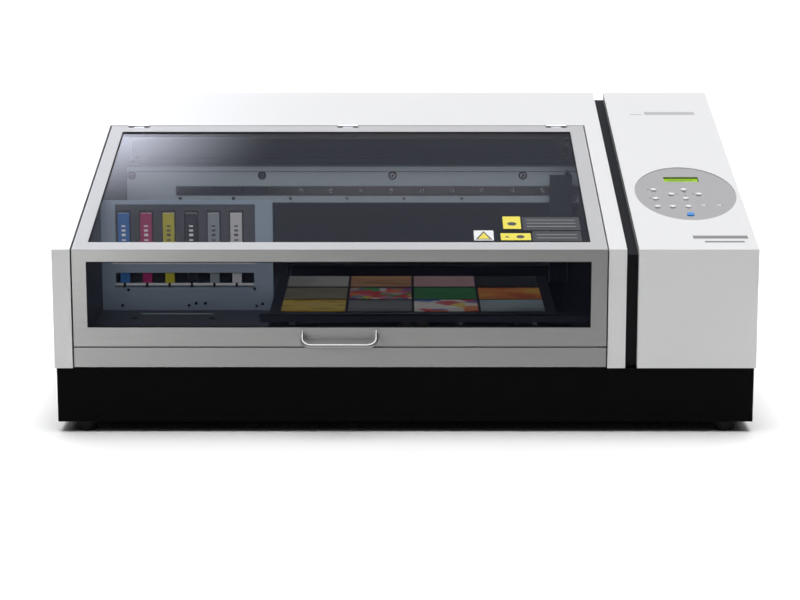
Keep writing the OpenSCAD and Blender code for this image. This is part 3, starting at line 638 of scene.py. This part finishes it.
def window_gaskets():
    """Dark seal along the inner edge of both window openings."""

    def border(bm, low, high, corner, place=UPRIGHT):
        """Four bars just inside a rectangle; corner makes a point from its two in-plane values."""
        (a0, b0, c0), (a1, b1, c1) = low, high
        add_box(bm, corner(a0, b0, c0), corner(a1, b0 + width, c1), place)
        add_box(bm, corner(a0, b1 - width, c0), corner(a1, b1, c1), place)
        add_box(bm, corner(a0, b0 + width, c0), corner(a0 + width, b1 - width, c1), place)
        add_box(bm, corner(a1 - width, b0 + width, c0), corner(a1, b1 - width, c1), place)

    pane_low, pane_high = (from_front(v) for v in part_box("front_window"))
    margin = 3.5
    x0, x1 = pane_low.x + margin, pane_high.x - margin
    z0, z1 = pane_low.z + margin, pane_high.z - margin
    width = 1.6

    def front_seal(bm):
        border(bm, (x0, z0, 0.9), (x1, z1, 2.5), lambda x, z, y: (x, y, z))

    piece("front_window_seal", "cover", RUBBER, front_seal, 0, "rubber")
    top_low, top_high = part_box("top_window")
    s0 = (DECK.inverted() @ top_low).y / MM + margin
    s1 = (DECK.inverted() @ top_high).y / MM - margin

    def top_seal(bm):
        border(bm, (x0, s0, -2.5), (x1, s1, -1.1), lambda x, s, n: (x, s, n), DECK)

    piece("top_window_seal", "cover", RUBBER, top_seal, 0, "rubber")


def stickers():
    """Blank coloured stickers on the right of the top window, with plain shapes in place of any text."""
    c = math.cos(TILT)
    # Heights out of the deck: the cards' underside and top, and the top of the marks on them
    n0, n1, n2 = -2.48, -2.30, -2.22

    def card(name, material, x0, x1, y0, y1):
        def build(bm):
            add_box(bm, (x0, y0 / c, n0), (x1, y1 / c, n1), DECK)

        piece(name, "cover", material, build, 0, "tinted_window")

    card("sticker_white_card", STICKER_WHITE, 118, 152, 44, 87)
    card("sticker_yellow_upper", STICKER_YELLOW, 170, 201, 94, 149)
    card("sticker_black_upper", STICKER_BLACK, 204, 304, 88, 146)
    card("sticker_yellow_lower", STICKER_YELLOW, 164, 216, 45, 75)
    card("sticker_black_lower", STICKER_BLACK, 219, 303, 40, 84)

    def wedge(bm):
        add_prism(bm, [(120.5, 48 / c), (149.5, 48 / c), (135, 84 / c)], n1, n2, DECK)

    piece("sticker_plain_triangle", "cover", MARK_DARK, wedge, 0, "tinted_window")

    def inner_wedge(bm):
        add_prism(bm, [(125, 51 / c), (145, 51 / c), (135, 77 / c)], n2, n2 + 0.06, DECK)

    piece("sticker_plain_triangle_fill", "cover", STICKER_YELLOW, inner_wedge, 0, "tinted_window")

    def blots(bm):
        add_disc(bm, (185.5, 116 / c, n1 + 0.03), 8, 0.08, DECK)
        add_disc(bm, (175, 59 / c, n1 + 0.03), 5, 0.08, DECK, sides=3)
        add_disc(bm, (198, 60 / c, n1 + 0.03), 7, 0.08, DECK)

    piece("sticker_plain_discs", "cover", MARK_DARK, blots, 0, "tinted_window")

    def rules(bm):
        for y in (104, 118, 132):
            add_box(bm, (211, y / c, n1), (297, (y + 1.6) / c, n2), DECK)
        for y in (54, 68):
            add_box(bm, (226, y / c, n1), (296, (y + 1.6) / c, n2), DECK)

    piece("sticker_plain_rules", "cover", CAP_GREY, rules, 0, "tinted_window")


def cover_stops():
    """Small rubber stops in the seam below the cover."""
    seam_low = from_front(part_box("lower_front_panel")[1]).z
    seam_high = from_front(FACE_LOW).z

    def build(bm):
        for x in (-552, -342, -112, 118, 327):
            add_box(bm, (x - 6, 0.4, seam_low), (x + 6, 9, seam_high - 0.25))

    piece("cover_stops", "root", RUBBER, build, 0.3, "rubber")


# ---- Control panel --------------------------------------------------------------------------------

def panel_details():
    plate_low, plate_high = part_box("control_panel_plate")
    centre = (from_front(plate_low) + from_front(plate_high)) / 2
    cx, cy = centre.x, centre.y
    c = math.cos(TILT)
    top = -1.2  # the plate's face below the deck

    def spot(x, y):
        return (cx + x, (cy + y) / c, top)

    def lamps(bm):
        for x in (27, 54):
            px, ps, pn = spot(x, -55)
            add_disc(bm, (px, ps, pn + 0.15), 4.6, 0.3, DECK)

    piece("status_lamps", "root", SOFT_MARK, lamps, 0, "panel_grey")

    def spots(bm):
        for x in (32, 59):
            px, ps, pn = spot(x, -56)
            add_disc(bm, (px, ps, pn + 0.06), 1.8, 0.12, DECK, sides=16)
        for y in (17.5, -22.5):
            px, ps, pn = spot(-65.3, y)
            add_disc(bm, (px, ps, pn + 0.12), 1.9, 0.24, DECK, sides=16)

    piece("key_spots", "root", MARK_SOFT_DARK, spots, 0, "panel_grey")

    def captions(bm):
        for x, y, w in ((-56, 31, 8), (-1.5, 31, 6), (-56, -10, 8), (-56, -46, 9), (-28, -46, 6),
                        (0, -46, 7), (28, -44, 5), (55, -44, 5), (-26, 45, 12)):
            px, ps, pn = spot(x, y)
            add_box(bm, (px - w / 2, ps - 1.4, pn), (px + w / 2, ps + 1.4, pn + 0.05), DECK)

    piece("key_caption_bars", "root", CAPTION_GREY, captions, 0, "panel_grey")

    def arrows(bm):
        size = 2.6
        for x, y, turn in ((-1, 5.5, 90), (-0.5, -9, 270), (-15, -2.5, 180), (13.5, -2.5, 0)):
            px, ps, pn = spot(x, y)
            corners = []
            for k in range(3):
                angle = math.radians(turn + 120 * k)
                corners.append((px + size * math.cos(angle), ps + size * math.sin(angle)))
            add_prism(bm, corners, pn, pn + 0.1, DECK)

    piece("key_arrows", "root", MARK_DARK, arrows, 0, "panel_grey")
    low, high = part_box("lcd_display")
    x0, x1 = low.x / MM, high.x / MM
    s0, s1 = (cy + 55.5) / c + 0.3, (cy + 79.5) / c - 0.3
    # The screen's face below the deck, and the dark lining's depth, gap to the screen and outer reach; the
    # lining is painted shade on the well's walls
    face, depth, gap, reach = -4.7, 4, 0.02, 0.28

    # Black walls round the sunken screen: painted shade along its top and sides.
    def well_shade(bm):
        low_n, high_n = face - depth, top - 0.2
        add_box(bm, (x0 - reach, s1 + gap, low_n), (x1 + reach, s1 + reach, high_n), DECK)
        add_box(bm, (x0 - reach, s0 - reach, low_n), (x0 - gap, s1 + gap, high_n), DECK)
        add_box(bm, (x1 + gap, s0 - reach, low_n), (x1 + reach, s1 + gap, high_n), DECK)

    piece("screen_well_lining", "root", BLACK_PLASTIC, well_shade, 0, "black_plastic")

    def bars(bm):
        for row, filled in ((0.62, 14), (0.32, 9)):
            s = s0 + (s1 - s0) * row
            for i in range(filled):
                x = x0 + 6 + i * 3.4
                add_box(bm, (x, s - 1.6, face), (x + 2.2, s + 1.6, face + 0.06), DECK)

    piece("screen_level_bars", "root", MARK_DARK, bars, 0, "display")


def name_strips():
    """Plain strips in the places of the machine's name plates, without any lettering."""
    c = math.cos(TILT)

    def rear_strip(bm):
        add_box(bm, (440, 652 / c, 0), (464, 655.5 / c, 0.12), DECK)
        add_box(bm, (468, 652 / c, 0), (566, 668 / c, 0.12), DECK)

    piece("plain_rear_strip", "root", RING_GREY, rear_strip, 0, "white_shell")

    def front_strip(bm):
        add_box(bm, (494, 46.5 / c, 0), (588, 59 / c, 0.12), DECK)
        add_box(bm, (512, 30 / c, 0), (580, 36.5 / c, 0.12), DECK)

    piece("plain_front_strip", "root", STRIP_GREY, front_strip, 0, "white_shell")


# ---- Rear and underside -----------------------------------------------------------------------------

def fan_guard():
    low, high = (from_front(v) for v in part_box("exhaust_fan"))
    cx, cz = (low.x + high.x) / 2, (low.z + high.z) / 2
    back, wire = DECK_BACK_Y + 1.5, 1.1
    ring_steps, wire_sides = 48, 6
    screw_out = 52.5

    def build(bm):
        for radius in (12, 22, 32, 42, 52):
            ring = []
            for i in range(ring_steps):
                a = 2 * math.pi * i / ring_steps
                section = []
                for k in range(wire_sides):
                    b = 2 * math.pi * k / wire_sides
                    r = radius + wire * math.cos(b)
                    section.append(bm.verts.new(front_point(
                        cx + r * math.cos(a), back + wire * math.sin(b), cz + r * math.sin(a))))
                ring.append(section)
            for i, section in enumerate(ring):
                following = ring[(i + 1) % ring_steps]
                for k in range(wire_sides):
                    j = (k + 1) % wire_sides
                    bm.faces.new((section[k], following[k], following[j], section[j]))
        for sx, sz in ((1, 1), (-1, 1), (-1, -1), (1, -1)):
            place = (cx + sx * screw_out, DECK_BACK_Y + 0.7, cz + sz * screw_out)
            add_disc(bm, place, 4, 1.4, axis="Y")

    smooth_by_angle(piece("fan_guard", "root", BRIGHT_STEEL, build, 0, "bare_steel"))

    def spokes(bm):
        for a in (45, 135):
            centre = Matrix.Translation(front_point(cx, back + 1.2, cz))
            add_box(bm, (-66, -0.8, -1), (66, 0.8, 1), centre @ Matrix.Rotation(math.radians(a), 4, "Y"))

    piece("fan_guard_spokes", "root", BRIGHT_STEEL, spokes, 0.3, "bare_steel")


def panel_screws():
    """Countersunk screws on the back, most along the outer panels' lower edges."""
    lid_back = from_front(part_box("rear_housing")[1]).y

    def rear(bm):
        for x in (-560, -400, -320, 320, 332):
            add_disc(bm, (x, DECK_BACK_Y + 0.2, 470 if abs(x) > 500 else 180), 4, 0.4, axis="Y")
        for x in (-580, -430, -290, 320, 450, 585):
            add_disc(bm, (x, lid_back - 0.1, 124), 3.4, 0.3, axis="Y")
        for z in (160, 220, 280):
            for x in (-268, 298):
                add_disc(bm, (x, lid_back - 0.1, z), 3.4, 0.3, axis="Y")

    piece("rear_screws", "root", BRIGHT_STEEL, rear, 0, "bare_steel")

    def vents(bm):
        for i in range(14):
            x = 420 + i * 11
            add_box(bm, (x, DECK_BACK_Y - 0.3, 330), (x + 5, DECK_BACK_Y + 0.15, 400))

    piece("pod_rear_vents", "root", MARK_DARK, vents, 0, "black_plastic")

    def stubs(bm):
        for x in (-458, 452):
            add_disc(bm, (x, 22, 16.2), 6, 4.6)

    piece("jacking_studs", "root", BLACK_COAT, stubs, 0.5, "black_steel")


# ---- Stage, light and camera ------------------------------------------------------------------------

def floor():
    material, tree, shader, coords = shader_base("pale_floor")
    cloud = noise(tree, coords, 1.5)
    tints = [(0.3, (0.94, 0.94, 0.94)), (0.7, (0.96, 0.96, 0.96))]
    tree.links.new(ramp(tree, cloud, tints), shader.inputs["Base Color"])
    shader.inputs["Roughness"].default_value = 0.9
    shader.inputs["Specular IOR Level"].default_value = 0.1
    bpy.ops.mesh.primitive_plane_add(size=60, location=(0, 4, 0))
    made = bpy.context.object
    made.name = "studio_floor"
    made.data.materials.append(material)


def area_light(name, place, aim, size, power, beam=180, glossy=True):
    data = bpy.data.lights.new(name, "AREA")
    data.shape = "RECTANGLE"
    data.size, data.size_y = size
    data.energy = power
    data.spread = math.radians(beam)
    made = bpy.data.objects.new(name, data)
    SCENE.collection.objects.link(made)
    made.location = place
    made.rotation_euler = (Vector(aim) - Vector(place)).to_track_quat("-Z", "Y").to_euler()
    made.visible_glossy = glossy
    return made


def reflection_card():
    """A dim wall up behind the machine with a soft glow at its left, seen only in polished surfaces."""
    material = bpy.data.materials.new("glow_card")
    material.use_nodes = True
    tree = material.node_tree
    tree.nodes.clear()
    out = tree.nodes.new("ShaderNodeOutputMaterial")
    light = tree.nodes.new("ShaderNodeEmission")
    coords = tree.nodes.new("ShaderNodeTexCoord")
    ball = tree.nodes.new("ShaderNodeTexGradient")
    ball.gradient_type = "QUADRATIC_SPHERE"
    glow = tree.nodes.new("ShaderNodeMapping")
    glow.inputs["Location"].default_value = (1.27, 0.84, 0)
    glow.inputs["Scale"].default_value = (3.75, 3.3, 1)
    light.inputs["Color"].default_value = (0.82, 0.85, 1.0, 1)
    tree.links.new(coords.outputs["Object"], glow.inputs["Vector"])
    tree.links.new(glow.outputs["Vector"], ball.inputs["Vector"])
    tree.links.new(spread(tree, ball.outputs["Fac"], 0.85, 34.0), light.inputs["Strength"])
    tree.links.new(light.outputs["Emission"], out.inputs["Surface"])
    bpy.ops.mesh.primitive_plane_add(size=2, location=(-0.2, 3.36, 2.9))
    made = bpy.context.object
    made.name = "glow_card"
    made.scale = (3.0, 1.5, 1.0)
    made.rotation_euler = (math.radians(90), 0, 0)
    made.data.materials.append(material)
    made.visible_diffuse = False
    made.visible_shadow = False
    made.visible_camera = False


def lights():
    world = bpy.data.worlds.new("studio")
    SCENE.world = world
    world.use_nodes = True
    tree = world.node_tree
    background = tree.nodes["Background"]
    coords = tree.nodes.new("ShaderNodeTexCoord")
    split = tree.nodes.new("ShaderNodeSeparateXYZ")
    tree.links.new(coords.outputs["Generated"], split.inputs["Vector"])
    stops = [(0.0, (0.03, 0.03, 0.035)), (0.5, (0.03, 0.03, 0.035)), (1.0, (0.30, 0.30, 0.31))]
    tree.links.new(ramp(tree, split.outputs["Z"], stops), background.inputs["Color"])
    background.inputs["Strength"].default_value = 1.0
    area_light("overhead", (0, -0.2, 4.2), (0, -0.1999, 0), (7, 6), 124, beam=60)
    wash = area_light("far_wash", (0, 8.0, 5.2), (0, 7.5, 0), (15, 8), 1000, glossy=False)
    ground = bpy.data.collections.new("ground")
    ground.objects.link(bpy.data.objects["studio_floor"])
    wash.light_linking.receiver_collection = ground
    fill = area_light("interior_fill", (0, -3.6, 2.45), (0, 0.1, 0.3), (2.5, 1.2), 230, glossy=False)
    lit = bpy.data.collections.new("seen_through_windows")
    for made in bpy.data.objects:
        if made.name.startswith(INSIDE):
            lit.objects.link(made)
    fill.light_linking.receiver_collection = lit
    card = area_light("left_card", (-1.45, -1.9, 0.65), (-0.55, -0.45, 0.25), (1.2, 0.9), 45)
    metal = bpy.data.collections.new("brushed_front")
    for name in ("cover_front_frame", "lower_front_panel"):
        metal.objects.link(NODES[name])
    card.light_linking.receiver_collection = metal


def camera():
    """Long lens in front of the machine, looking slightly down."""
    data = bpy.data.cameras.new("camera")
    data.sensor_width = 36
    data.lens = 104.94
    data.shift_x = -0.00675
    data.clip_end = 100
    made = bpy.data.objects.new("camera", data)
    SCENE.collection.objects.link(made)
    made.location = (0, FRONT - 3.894, 1.020)
    made.rotation_euler = (math.radians(90 - 11.43), 0, 0)
    SCENE.camera = made


camera()
floor()
reflection_card()
SCENE.view_settings.view_transform = "Standard"
dress_nodes()
sample_tiles()
ink_bay_details()
gantry_details()
loose_wire()
window_gaskets()
stickers()
cover_stops()
panel_details()
name_strips()
fan_guard()
panel_screws()
lights()

bpy.context.view_layer.update()
